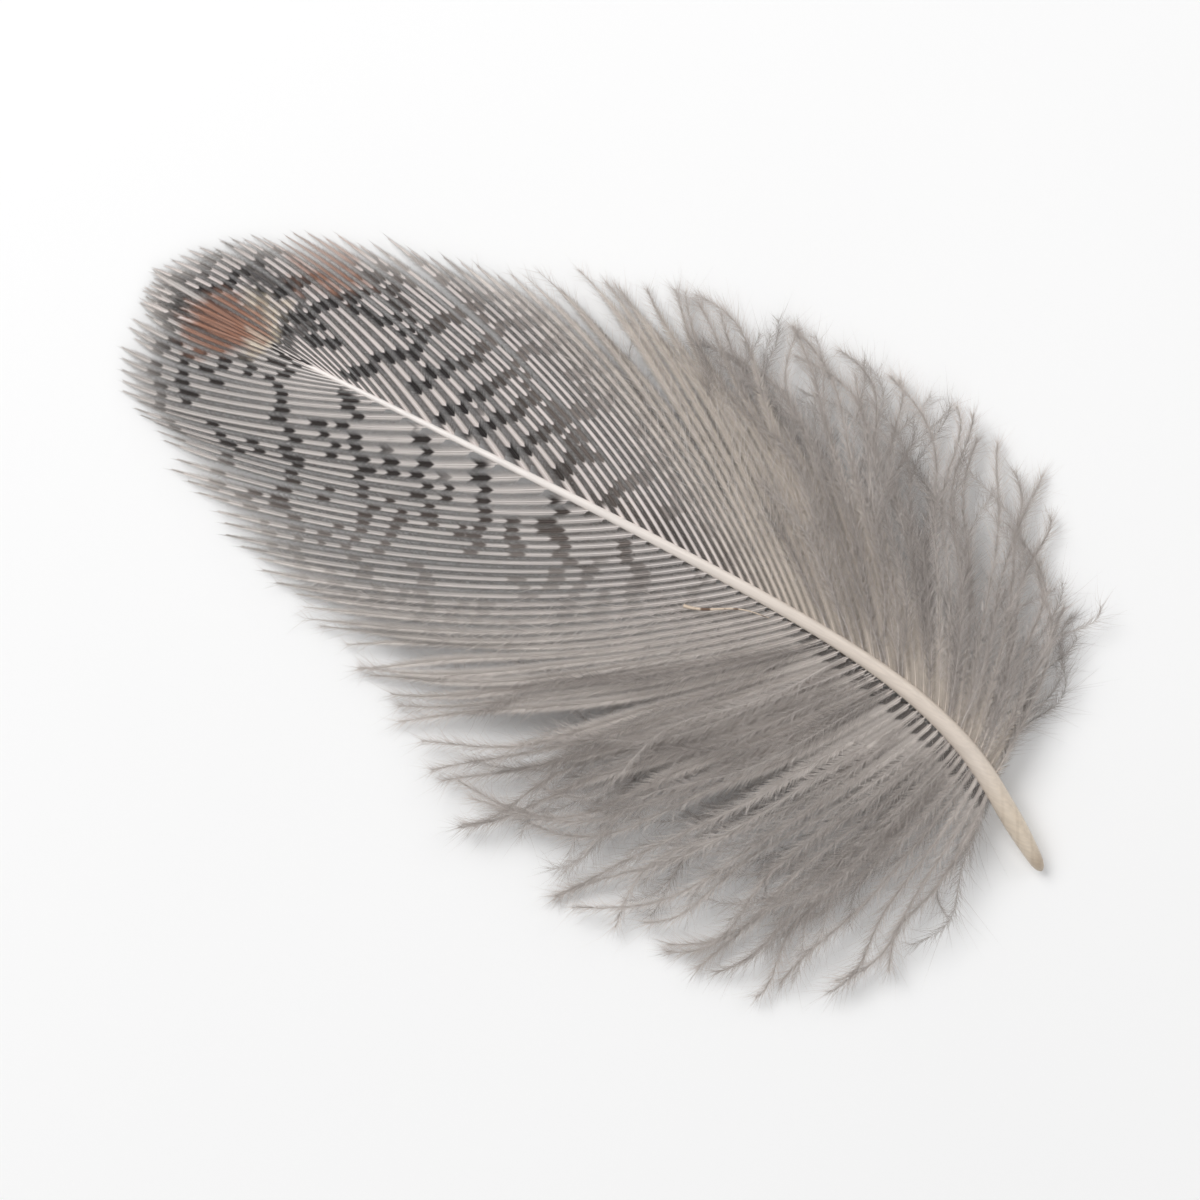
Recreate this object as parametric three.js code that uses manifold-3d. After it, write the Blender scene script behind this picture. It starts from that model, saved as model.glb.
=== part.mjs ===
// A partridge's body feather, lying on a surface with its outer side up.
//
// Millimetres. +X runs along the feather from the quill to the tip, +Z is up, and the
// feather lies on Z = 0. While it is being shaped, the origin is the top of the quill,
// seen from above. At the end the whole feather is centred on its own box.
//
// Every barb leaves the shaft at a place t, from 0 at the top of the quill to 1 at the
// shaft's thin end, and a point along a barb is q, from 0 at its root to 1 at its tip.

import * as THREE from 'three';
import { mergeVertices } from 'three/addons/utils/BufferGeometryUtils.js';
import Module from 'manifold-3d';

const wasm = await Module();
wasm.setup();

// Driving dimensions of the shaft
const SHAFT_LENGTH = 42.5;      // from the top of the quill to the thin end
const QUILL_LENGTH = 4.8;       // bare quill below the lowest barbs
const QUILL_LEAN = 0.62;        // the quill's sideways slope, seen from above
const QUILL_POINT = 0.45;       // share of its width that the quill's blunt end has
const SHAFT_BOW = 3.6;          // how far the shaft bows to the side
const BOW_REACH = 6.0;          // most of the bow is in this much of the base
const SHAFT_WIDTH = 1.15;       // at the top of the quill
const TAPER_REACH = 26;         // the shaft thins to a third over this length
const SHAFT_SIDES = 8;
const SHAFT_STEPS = 22;

// Driving dimensions of the arch that the feather makes as it lies
const ARCH_HEIGHT = 4.6;
const ARCH_FOOT = 0.62;         // height of the shaft's middle where the quill touches down
const ARCH_SPAN = 58.8;         // quill end to feather tip
const ARCH_SKEW = 0.8;          // under 1, the top of the arch is nearer the quill

// Driving dimensions of the barbs
const BARB_SHORTEST = 12;       // at the very base
const BARB_GAIN = 13.5;         // longer than that, further up the shaft
const GAIN_REACH = 0.07;        // most of the gain is below this place t
const BARB_LOSS = 14;           // shorter again, at the shaft's thin end
const LOSS_LATENESS = 2.2;
const BARB_ANGLE = 25;          // degrees between barb and shaft, middle of the vane
const BARB_SPREAD = 62;         // degrees more than that at the base
const SPREAD_REACH = 0.17;      // most of the spread is below this place t
const BARB_BEND = 16;           // degrees that a barb turns towards the tip
const TIP_CROSSING = 3;         // degrees that the last barbs of both sides cross over
const TIP_LATENESS = 24;        // the barbs close up into the tip's fan this late
const LEFT = { side: 1, reach: 1 };
const RIGHT = { side: -1, reach: 0.86 };

// Driving dimensions of the two vanes
const VANE_START = 0.2;         // the vane's firm barbs start at this place t
const VANE_RIBS = 40;           // ribs of barbs along each vane
const RIB_CROWDING = 1.4;       // over 1, the ribs stand closer together at the tip
const VANE_STEPS = 5;
const VANE_THICKNESS = 0.5;     // at the shaft
const EDGE_THICKNESS = 0.3;
const EDGE_HEIGHT = 0.2;        // middle of the vane's thickness, at its edge
const VANE_CAMBER = 1.8;        // over 1, the vane is flatter at the shaft than at the edge
const RIB_RISE = 0.1;
const NOTCH_SHARE = 0.06;       // every second rib is shorter by this share

// Driving dimensions of the downy locks. Each layer lifts its locks, or sinks them under
// the feather, and ends them at its own height above the surface.
const LOCK_LAYERS = [
  { count: 7, width: 2.4, lift: -1.44, end: 0.3, reach: 0.86, phase: -2.4 },
  { count: 9, width: 2.3, lift: 0.12, end: 1.2, reach: 1.0, phase: 0.2 },
  { count: 8, width: 2.1, lift: 1.56, end: 2.6, reach: 0.9, phase: 2.6 },
];
const LOCK_THICKNESS = 1.0;
const LOCK_ZONE = 0.3;          // the downy locks end at this place t
const LOCK_SWAY = 7;            // degrees that a lock strays from its barb's direction
const LOCK_RAGGED = 0.06;       // share by which the locks differ in length
const LOWEST_LOCK = 0.25;       // lowest middle line of a lock, above the surface
const FIRST_LOCK_TURN = 8;      // degrees that the first locks turn back to the quill
const LOCK_CAMBER = 1.6;
const LOCK_STEPS = 5;
const LOCK_SIDES = 4;
const LOCK_ROOT = 0.4;          // share of its width that a lock has at its root
const LOCK_BELLY = 0.35;        // a lock is widest this far out
const LOCK_TIP = 0.08;

// Driving dimensions of the afterfeather
const AFTER_LENGTH = 26;
const AFTER_WIDTH = 5;          // of the down along its own shaft
const AFTER_THICKNESS = 2.4;
const AFTER_HEIGHT = 0.5;       // its middle, above the surface
const AFTER_FORK = 0.6;         // it forks off this far above the top of the quill
const AFTER_FORK_DROP = 1.15;   // its middle is this far below the shaft's there
const AFTER_DESCENT = 0.45;     // it has sunk to the surface this share of its way along
const AFTER_STRAY = 0.8;        // sideways, at its end
const AFTER_LOCKS = 8;          // on each side
const AFTER_LOCK = { length: 8.2, shorter: 1.6, width: 2.5, thickness: 1.0, end: 0.55 };
const AFTER_LOCK_ANGLE = { tip: 26, more: 26, fade: 0.3 };

const CLEARANCE = 0.3;          // left between the feather and its afterfeather
const SLIVER = 0.05;            // edges shorter than this are closed up

const DEGREE = Math.PI / 180;
const UP = new THREE.Vector3(0, 0, 1);
const NUDGE = 0.02;             // a short way along a line, to find its direction

// The line of the shaft, seen from above: the sideways place y at a length x
function shaftSide(x) {
  if (x < 0) return -QUILL_LEAN * x;
  return -SHAFT_BOW * (1 - Math.exp(-x / BOW_REACH));
}

// The height of the shaft's middle above the surface
function archHeight(x) {
  const share = THREE.MathUtils.clamp((x + QUILL_LENGTH) / ARCH_SPAN, 0, 1);
  return ARCH_FOOT + ARCH_HEIGHT * Math.sin(Math.PI * share ** ARCH_SKEW);
}

function shaftPoint(x) {
  return new THREE.Vector3(x, shaftSide(x), archHeight(x));
}

// The quill is round with a blunt end, and the shaft thins evenly to its own
function shaftRadius(x) {
  const full = (SHAFT_WIDTH / 2) * Math.exp(-Math.max(x, 0) / TAPER_REACH);
  const fromEnd = THREE.MathUtils.clamp((x + QUILL_LENGTH) / (QUILL_LENGTH / 2), 0, 1);
  return full * (QUILL_POINT + (1 - QUILL_POINT) * Math.sqrt(fromEnd));
}

function barbAngle(t) {
  const spread = BARB_SPREAD * Math.exp(-t / SPREAD_REACH);
  const closing = (BARB_ANGLE + TIP_CROSSING) * t ** TIP_LATENESS;
  return BARB_ANGLE + spread - closing;
}

function barbLength(t, vane) {
  const gain = BARB_GAIN * (1 - Math.exp(-t / GAIN_REACH));
  return vane.reach * (BARB_SHORTEST + gain - BARB_LOSS * t ** LOSS_LATENESS);
}

// A barb seen from above: it bends evenly, so it is a shallow bow over its chord
function barbPlan(vane, t, q, length, turn = 0) {
  const chord = (barbAngle(t) + turn) * DEGREE;
  const bend = BARB_BEND * DEGREE * (1 - t ** 4);
  const along = length * q;
  const bulge = length * (bend / 2) * q * (1 - q);
  const x = Math.cos(chord) * along - Math.sin(chord) * bulge;
  const y = Math.sin(chord) * along + Math.cos(chord) * bulge;
  const root = t * SHAFT_LENGTH;
  return new THREE.Vector2(root + x, shaftSide(root) + vane.side * y);
}

// A closed three.js shape as a solid that can be joined and cut
function solidOf(geometry) {
  geometry.deleteAttribute('normal');
  geometry.deleteAttribute('uv');
  const merged = mergeVertices(geometry, 1e-5);
  const solid = new wasm.Manifold(new wasm.Mesh({
    numProp: 3,
    vertProperties: new Float32Array(merged.attributes.position.array),
    triVerts: new Uint32Array(merged.index.array),
  }));
  return solid.volume() < 0 ? solidOf(turnedOut(merged)) : solid;
}

// The same shape with its faces the other way out
function turnedOut(geometry) {
  const index = Array.from(geometry.index.array);
  for (let i = 0; i < index.length; i += 3) {
    [index[i + 1], index[i + 2]] = [index[i + 2], index[i + 1]];
  }
  geometry.setIndex(index);
  return geometry;
}

function geometryOf(solid) {
  const mesh = solid.getMesh();
  const geometry = new THREE.BufferGeometry();
  geometry.setAttribute('position', new THREE.BufferAttribute(mesh.vertProperties, 3));
  geometry.setIndex(new THREE.BufferAttribute(mesh.triVerts, 1));
  return geometry;
}

function joined(solids) {
  return solids.reduce((whole, next) => whole.add(next));
}

// What lies on the surface is pressed flat there
function pressedFlat(solid) {
  const side = 4 * ARCH_SPAN;
  const below = new THREE.BoxGeometry(side, side, side);
  below.translate(0, 0, -side / 2);
  return solid.subtract(solidOf(below));
}

// Joins and cuts leave slivers, crumbs and tiny bubbles: only the grown piece is kept
function cleaned(solid) {
  const bodies = solid.simplify(SLIVER).decompose();
  return bodies.reduce((best, next) => (next.volume() > best.volume() ? next : best));
}

// Moves every corner of a shape to the place that a function gives for it
function reshaped(geometry, place) {
  const position = geometry.attributes.position;
  const corner = new THREE.Vector3();
  for (let i = 0; i < position.count; i += 1) {
    corner.fromBufferAttribute(position, i);
    const moved = place(corner);
    position.setXYZ(i, moved.x, moved.y, moved.z);
  }
  return geometry;
}

// The quill and the shaft: a round rod, turned straight and then laid along the arch
function shaftSolid() {
  const total = QUILL_LENGTH + SHAFT_LENGTH;
  const profile = [new THREE.Vector2(0, -QUILL_LENGTH)];
  for (let i = 0; i <= SHAFT_STEPS; i += 1) {
    const x = total * (i / SHAFT_STEPS) ** 1.15 - QUILL_LENGTH;
    profile.push(new THREE.Vector2(shaftRadius(x), x));
  }
  profile.push(new THREE.Vector2(0, SHAFT_LENGTH));
  const rod = new THREE.LatheGeometry(profile, SHAFT_SIDES);
  return solidOf(reshaped(rod, (corner) => {
    const x = corner.y;
    const ahead = shaftPoint(x + NUDGE).sub(shaftPoint(x - NUDGE)).normalize();
    const across = new THREE.Vector3().crossVectors(UP, ahead).normalize();
    const above = new THREE.Vector3().crossVectors(ahead, across);
    return shaftPoint(x).addScaledVector(across, corner.x).addScaledVector(above, corner.z);
  }));
}

// One vane: a thin sheet of ribs that run out along the barbs, with a notched edge
function vaneSolid(vane) {
  const sheet = new THREE.BoxGeometry(1, 1, 1, VANE_RIBS, VANE_STEPS, 1);
  return solidOf(reshaped(sheet, (corner) => {
    const u = corner.x + 0.5;
    const q = corner.y + 0.5;
    const t = 1 - (1 - VANE_START) * (1 - u) ** RIB_CROWDING;
    const lowRib = Math.round(u * VANE_RIBS) % 2;
    const length = barbLength(t, vane) * (1 - NOTCH_SHARE * lowRib);
    const plan = barbPlan(vane, t, q, length);
    const fall = q ** VANE_CAMBER;
    const middle = THREE.MathUtils.lerp(archHeight(t * SHAFT_LENGTH), EDGE_HEIGHT, fall);
    const relief = lowRib ? -RIB_RISE : RIB_RISE;
    const thickness = THREE.MathUtils.lerp(VANE_THICKNESS, EDGE_THICKNESS, q);
    return new THREE.Vector3(plan.x, plan.y, middle + relief + corner.z * thickness);
  }));
}

// A lock of down: a leaf-shaped wisp along a path, with a thin root and a fine tip
function lockSolid(path, width, thickness) {
  const wisp = new THREE.CylinderGeometry(1, 1, 1, LOCK_SIDES, LOCK_STEPS);
  return solidOf(reshaped(wisp, (corner) => {
    const q = corner.y + 0.5;
    const filling = LOCK_ROOT + (1 - LOCK_ROOT) * (q / LOCK_BELLY);
    const thinning = 1 - ((q - LOCK_BELLY) / (1 - LOCK_BELLY)) ** 2;
    const size = Math.max(q < LOCK_BELLY ? filling : thinning, LOCK_TIP);
    const here = path(q);
    const ahead = path(Math.min(q + NUDGE, 1)).sub(path(Math.max(q - NUDGE, 0)));
    const across = new THREE.Vector3(-ahead.y, ahead.x, 0).normalize();
    here.addScaledVector(across, corner.x * size * width / 2);
    here.z += corner.z * size * thickness / 2;
    return here;
  }));
}

// The path of a downy lock: out along its barb, with its layer's own rise and fall
function lockPath(vane, layer, number) {
  const t = LOCK_ZONE * (number + 0.15) / layer.count;
  const back = number === 0 ? FIRST_LOCK_TURN : 0;
  const turn = LOCK_SWAY * Math.sin(2.4 * number + layer.phase) + back;
  const ragged = 1 + LOCK_RAGGED * (Math.cos(1.7 * number) - 1);
  const length = barbLength(t, vane) * layer.reach * ragged;
  const start = archHeight(t * SHAFT_LENGTH);
  return (q) => {
    const plan = barbPlan(vane, t, q, length, turn);
    const loft = layer.lift * Math.sin(Math.PI * Math.min(1, q * 1.15));
    const height = THREE.MathUtils.lerp(start, layer.end, q ** LOCK_CAMBER) + loft;
    return new THREE.Vector3(plan.x, plan.y, Math.max(height, LOWEST_LOCK));
  };
}

function downLocks(vane) {
  const locks = [];
  for (const layer of LOCK_LAYERS) {
    for (let number = 0; number < layer.count; number += 1) {
      locks.push(lockSolid(lockPath(vane, layer, number), layer.width, LOCK_THICKNESS));
    }
  }
  return locks;
}

// The line of the afterfeather's own shaft, from the fork back under the feather
function afterPoint(s) {
  const x = AFTER_FORK + AFTER_LENGTH * s;
  const fork = archHeight(AFTER_FORK) - AFTER_FORK_DROP;
  const height = THREE.MathUtils.lerp(fork, AFTER_HEIGHT, Math.min(1, s / AFTER_DESCENT));
  return new THREE.Vector3(x, shaftSide(x) + AFTER_STRAY * s, height);
}

// The path of a lock of the afterfeather, from its own shaft down to the surface
function afterLockPath(s, side) {
  const root = afterPoint(s);
  const { tip, more, fade } = AFTER_LOCK_ANGLE;
  const angle = side * (tip + more * Math.exp(-s / fade)) * DEGREE;
  const length = AFTER_LOCK.length - AFTER_LOCK.shorter * s;
  return (q) => new THREE.Vector3(
    root.x + Math.cos(angle) * length * q,
    root.y + Math.sin(angle) * length * q * (1 - 0.2 * q),
    THREE.MathUtils.lerp(root.z, AFTER_LOCK.end, q),
  );
}

// The afterfeather: down all along its thin shaft, with locks to both sides. With a
// clearance it is that much bigger all round, to cut its own room.
function afterfeatherSolid(clearance) {
  const grow = 2 * clearance;
  const pieces = [lockSolid(afterPoint, AFTER_WIDTH + grow, AFTER_THICKNESS + grow)];
  for (let number = 0; number < AFTER_LOCKS; number += 1) {
    const s = 0.08 + 0.72 * number / (AFTER_LOCKS - 1);
    for (const side of [LEFT.side, RIGHT.side]) {
      const path = afterLockPath(s, side);
      pieces.push(lockSolid(path, AFTER_LOCK.width + grow, AFTER_LOCK.thickness + grow));
    }
  }
  return joined(pieces);
}

// The feather itself, grown as one: shaft, both vanes and the down at the base
function featherSolid() {
  const grown = joined([
    shaftSolid(),
    vaneSolid(LEFT),
    vaneSolid(RIGHT),
    ...downLocks(LEFT),
    ...downLocks(RIGHT),
  ]);
  return grown.subtract(afterfeatherSolid(CLEARANCE));
}

const feather = new THREE.Mesh(
  geometryOf(cleaned(pressedFlat(featherSolid()))),
  new THREE.MeshStandardMaterial({ color: 0x98918c, roughness: 0.75, metalness: 0 }),
);
feather.name = 'feather';

const afterfeather = new THREE.Mesh(
  geometryOf(cleaned(pressedFlat(afterfeatherSolid(0)))),
  new THREE.MeshStandardMaterial({ color: 0xa39b95, roughness: 0.85, metalness: 0 }),
);
afterfeather.name = 'afterfeather';

// The whole thing, centred over its own box and lying on Z = 0
const plume = new THREE.Group();
plume.add(feather, afterfeather);
const box = new THREE.Box3().setFromObject(plume);
const middle = box.getCenter(new THREE.Vector3());
plume.position.set(-middle.x, -middle.y, -box.min.z);

export default plume;
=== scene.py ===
# %% [markdown]
# # A partridge's body feather
# One small grey feather lies on a pale surface with its outer side up. The quill is at
# one end, then comes grey down, and then two firm vanes whose barbs carry small dark
# bars and a chestnut spot near the tip. A short downy afterfeather lies underneath.
#
# This lesson builds it as it grows. One ramus, one barbule and one downy hair are
# modelled, and numbers then lay many copies of them along every barb. The solid
# model is loaded first, because it settles every length, arch and angle.

# %% Load the frame
import math

import bpy
import numpy as np
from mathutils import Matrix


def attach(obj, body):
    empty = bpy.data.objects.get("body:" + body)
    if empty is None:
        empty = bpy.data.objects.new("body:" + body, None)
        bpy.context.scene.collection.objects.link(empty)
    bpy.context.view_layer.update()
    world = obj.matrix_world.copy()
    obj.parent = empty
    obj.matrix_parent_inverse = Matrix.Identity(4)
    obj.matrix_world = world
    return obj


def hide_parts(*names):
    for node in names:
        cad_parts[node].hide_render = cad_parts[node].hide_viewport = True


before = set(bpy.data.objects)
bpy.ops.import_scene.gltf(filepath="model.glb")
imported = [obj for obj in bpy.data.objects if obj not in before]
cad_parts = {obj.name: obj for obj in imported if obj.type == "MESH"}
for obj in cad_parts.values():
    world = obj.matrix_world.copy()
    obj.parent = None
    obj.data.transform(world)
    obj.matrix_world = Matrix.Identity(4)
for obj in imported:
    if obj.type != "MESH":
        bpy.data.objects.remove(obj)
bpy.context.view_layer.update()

# %% [markdown]
# ## The measures of the feather
# The solid model was made from a few lengths and angles, in millimetres. The same ones
# are repeated here, so that each barb lies where the solid vane lies. Along the shaft a
# place t runs from 0 at the top of the quill to 1 at the thin end, and along a barb q
# runs from 0 at its root to 1 at its tip.

# %% Measures
MM = 0.001
DEGREE = math.pi / 180
MIDDLE = np.array([24.5091, -0.5245, 0.0])  # middle of the part's box, from the quill's top

SHAFT_LENGTH = 42.5
QUILL_LENGTH = 4.8
QUILL_LEAN = 0.62
QUILL_POINT = 0.45
SHAFT_BOW = 3.6
BOW_REACH = 6.0
SHAFT_WIDTH = 1.15
TAPER_REACH = 26.0

ARCH_HEIGHT = 4.6
ARCH_FOOT = 0.62
ARCH_SPAN = 58.8
ARCH_SKEW = 0.8
EDGE_HEIGHT = 0.2
VANE_CAMBER = 1.8

BARB_SHORTEST = 12.0
BARB_GAIN = 13.5
GAIN_REACH = 0.07
BARB_LOSS = 14.0
LOSS_LATENESS = 2.2
BARB_ANGLE = 25.0
BARB_SPREAD = 62.0
SPREAD_REACH = 0.17
BARB_BEND = 16.0
TIP_CROSSING = 3.0
TIP_LATENESS = 24
SWEEP = 0.2
SWEEP_LATENESS = 1.6
SWEEP_ZONE = (0.25, 0.7)
SWEEP_END = 0.4
LEFT, RIGHT = 1.0, -1.0
REACH = {LEFT: 1.0, RIGHT: 0.86}

print("from the quill's end to the tip:", round(ARCH_SPAN, 1), "mm")

# %% [markdown]
# ## The lines that everything follows
# Three rules give the whole form: the bow of the shaft seen from above, the arch seen
# from the side, and the path of a barb that leaves the shaft. A fourth lets each barb
# sweep forward on the vane's curved sheet, so that it lies at the photograph's angle and
# still ends on the same outline. They take arrays, so one call places thousands of
# points. Drawing each curve by hand would be possible, but the barbs would then not keep
# their even spacing.

# %% Rules of the form
def smooth(value, low, high):
    share = np.clip((value - low) / (high - low), 0, 1)
    return share * share * (3 - 2 * share)


def lerp(a, b, share):
    return a + (b - a) * share


def shaft_side(x):
    bowed = -SHAFT_BOW * (1 - np.exp(-np.maximum(x, 0) / BOW_REACH))
    return np.where(x < 0, -QUILL_LEAN * x, bowed)


def arch_height(x):
    share = np.clip((x + QUILL_LENGTH) / ARCH_SPAN, 0, 1)
    return ARCH_FOOT + ARCH_HEIGHT * np.sin(np.pi * share ** ARCH_SKEW)


def shaft_radius(x):
    full = SHAFT_WIDTH / 2 * np.exp(-np.maximum(x, 0) / TAPER_REACH)
    from_end = np.clip((x + QUILL_LENGTH) / (QUILL_LENGTH / 2), 0, 1)
    return full * (QUILL_POINT + (1 - QUILL_POINT) * np.sqrt(from_end))


def barb_angle(t):
    spread = BARB_SPREAD * np.exp(-t / SPREAD_REACH)
    return BARB_ANGLE + spread - (BARB_ANGLE + TIP_CROSSING) * t ** TIP_LATENESS


def barb_length(t):
    gain = BARB_GAIN * (1 - np.exp(-np.maximum(t, 0) / GAIN_REACH))
    return BARB_SHORTEST + gain - BARB_LOSS * np.maximum(t, 0) ** LOSS_LATENESS


def swept(t, q):
    """The place whose line on the sheet a barb from t has reached at q, further forward."""
    ahead = SWEEP * smooth(t, *SWEEP_ZONE) * np.clip((1 - t) / SWEEP_END, 0, 1)
    return t + ahead * q ** SWEEP_LATENESS


def barb_plan(side, t, q, length, turn):
    chord = (barb_angle(t) + turn) * DEGREE
    bend = BARB_BEND * DEGREE * (1 - t ** 4)
    along = length * q
    bulge = length * bend / 2 * q * (1 - q)
    root = t * SHAFT_LENGTH
    x = root + np.cos(chord) * along - np.sin(chord) * bulge
    y = shaft_side(root) + side * (np.sin(chord) * along + np.cos(chord) * bulge)
    return x, y


# %% [markdown]
# ## Camera, floor and light
# The photograph looks straight down, with the feather's tip up and to the left. The
# camera does the same from a little way off, through a long lens, so that the small
# arch of the feather isn't stretched. A pale floor and three wide soft lights give the
# even light of a table-top picture.

# %% Camera, floor and light
VIEW_TURN = 206.6  # degrees that the picture's right is turned from the feather's length
VIEW_WIDTH = 0.066
LENS = 100
SENSOR = 36

camera_data = bpy.data.cameras.new("camera")
camera_data.lens = LENS
camera_data.sensor_width = SENSOR
camera = bpy.data.objects.new("camera", camera_data)
bpy.context.collection.objects.link(camera)
camera.location = (-0.0012, 0.0012, VIEW_WIDTH * LENS / SENSOR)
camera.rotation_euler = (0, 0, VIEW_TURN * DEGREE)
bpy.context.scene.camera = camera

bpy.ops.mesh.primitive_plane_add(size=3.0, location=(0, 0, 0))
floor = bpy.context.object
floor.name = "floor"


def soft_light(name, turn, tilt, distance, size, power):
    """A square light that looks at the feather from a turn and a height in degrees."""
    data = bpy.data.lights.new(name, "AREA")
    data.size = size
    data.energy = power
    light = bpy.data.objects.new(name, data)
    bpy.context.collection.objects.link(light)
    flat = math.cos(tilt * DEGREE) * distance
    light.location = (
        flat * math.cos(turn * DEGREE),
        flat * math.sin(turn * DEGREE),
        distance * math.sin(tilt * DEGREE),
    )
    light.rotation_euler = (math.pi / 2 - tilt * DEGREE, 0, turn * DEGREE + math.pi / 2)


soft_light("key", turn=-20, tilt=50, distance=0.45, size=0.25, power=1.25)
soft_light("fill", turn=150, tilt=45, distance=0.5, size=0.4, power=0.4)
soft_light("back", turn=240, tilt=35, distance=0.5, size=0.3, power=0.35)

world = bpy.data.worlds.new("studio")
bpy.context.scene.world = world
world.use_nodes = True
world.node_tree.nodes["Background"].inputs["Color"].default_value = (1, 1, 1, 1)
world.node_tree.nodes["Background"].inputs["Strength"].default_value = 0.4
bpy.context.scene.view_settings.view_transform = "Standard"
print("the picture is", VIEW_WIDTH, "m wide at the feather")

# %% [markdown]
# ## The parts of one barb
# A real barb is a long rib, the ramus, with hundreds of barbules on both sides. In the
# firm vane these are short hooked teeth, and in the down they are long soft hairs. Each
# is modelled once, standing up, one unit long: a four-sided rod that narrows to its end,
# a three-sided rod for the down, a three-sided spike, and a second spike with a joint in
# the middle so that it can bend. Every shape is closed. The two spikes have ten faces at
# most, because thousands of them are laid.

# %% Model a ramus, a barbule and a downy hair
RAMUS_STEPS = 18
DOWNY_STEPS = 12


def spike(name, sides, end_radius):
    """A closed cone, one unit high, that stands on the origin."""
    bpy.ops.object.select_all(action="DESELECT")
    bpy.ops.mesh.primitive_cone_add(
        vertices=sides, radius1=1, radius2=end_radius, depth=1, location=(0, 0, 0.5))
    piece = bpy.context.object
    piece.name = name
    bpy.ops.object.transform_apply(location=True, rotation=False, scale=False)
    return piece


def cut_lengthwise(piece, cuts):
    """Subdivide the edges that run along the piece."""
    bpy.ops.object.mode_set(mode="EDIT")
    bpy.ops.mesh.select_mode(type="EDGE")
    bpy.ops.mesh.select_all(action="DESELECT")
    bpy.ops.object.mode_set(mode="OBJECT")
    points = piece.data.vertices
    for edge in piece.data.edges:
        low, high = (points[i].co.z for i in edge.vertices)
        edge.select = abs(high - low) > 0.5
    bpy.ops.object.mode_set(mode="EDIT")
    bpy.ops.mesh.subdivide(number_cuts=cuts)
    bpy.ops.object.mode_set(mode="OBJECT")


def template(piece):
    """The piece's points and triangles as arrays. The piece itself is then removed."""
    bpy.ops.object.mode_set(mode="EDIT")
    bpy.ops.mesh.select_all(action="SELECT")
    bpy.ops.mesh.normals_make_consistent(inside=False)
    bpy.ops.mesh.quads_convert_to_tris()
    bpy.ops.object.mode_set(mode="OBJECT")
    points = np.array([v.co for v in piece.data.vertices])
    corners = np.array([tuple(p.vertices) for p in piece.data.polygons])
    print(piece.name, "has", len(points), "points and", len(corners), "triangles")
    bpy.data.objects.remove(piece)
    return points, corners


ramus = spike("ramus", sides=4, end_radius=0.25)
cut_lengthwise(ramus, RAMUS_STEPS - 1)
RAMUS = template(ramus)

downy_ramus = spike("downy ramus", sides=3, end_radius=0.25)
cut_lengthwise(downy_ramus, DOWNY_STEPS - 1)
DOWNY_RAMUS = template(downy_ramus)

BARBULE = template(spike("barbule", sides=3, end_radius=0))

hair = spike("hair", sides=3, end_radius=0)
cut_lengthwise(hair, 1)
HAIR = template(hair)

# %% [markdown]
# ## Where the barbs stand
# Down at the quill the barbs stand close, half a millimetre apart along the shaft. In
# the firm vane they are almost a millimetre apart, and at the tip they crowd together
# to form its round fan. No two barbs are quite alike: small groups lean and cling
# together and leave thin splits between them, and the loose ones at the base wave. A
# class keeps one number of each kind per barb, and gives the points of any of them.

# %% The barbs of one side
PITCH = 0.46
CLOSEST_ROOTS = 0.42
BASE_ROOTS = 0.58
ROOT_KICK = {LEFT: 20.0, RIGHT: 8.0}  # degrees that a soft barb's root stands off more
KICK_REACH = 1.2
TIP_REACH = 0.93
NUDGE = 0.004
LOWEST = 0.06
GROUP_START = 0.24
FAN_RADIUS = 22.0
SOFT_ZONE = (0.05, 0.44)
CALM_ZONE = (0.84, 0.94)
SIDE_LIMIT = 16.9


def unit(vectors):
    return vectors / np.linalg.norm(vectors, axis=-1, keepdims=True)


def spread_of_barbs(t, q):
    """How far apart two barbs are at q, for each step of their roots along the shaft."""
    def at(place, out):
        on_sheet = swept(place, out)
        return np.array(barb_plan(LEFT, on_sheet, out, barb_length(on_sheet), 0))

    apart = at(t + NUDGE, q) - at(t, q)
    ahead = unit(at(t, q + NUDGE) - at(t, q - NUDGE))
    return abs(apart[0] * ahead[1] - apart[1] * ahead[0]) / NUDGE


def barb_places():
    """Roots that keep the barbs one pitch apart: midway out at the base, further at the tip."""
    places = [0.0]
    while places[-1] < 1.0:
        t = places[-1]
        where = 0.35 + 0.25 * smooth(t, 0.35, 0.55) + 0.3 * smooth(t, 0.7, 0.95)
        gap = PITCH / spread_of_barbs(t, where)
        closest = lerp(CLOSEST_ROOTS, BASE_ROOTS, smooth(t, 0.06, 0.16))
        closest = closest * (1 - smooth(t, 0.27, 0.5))
        places.append(t + max(gap, closest / SHAFT_LENGTH))
    return np.array(places)


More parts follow.
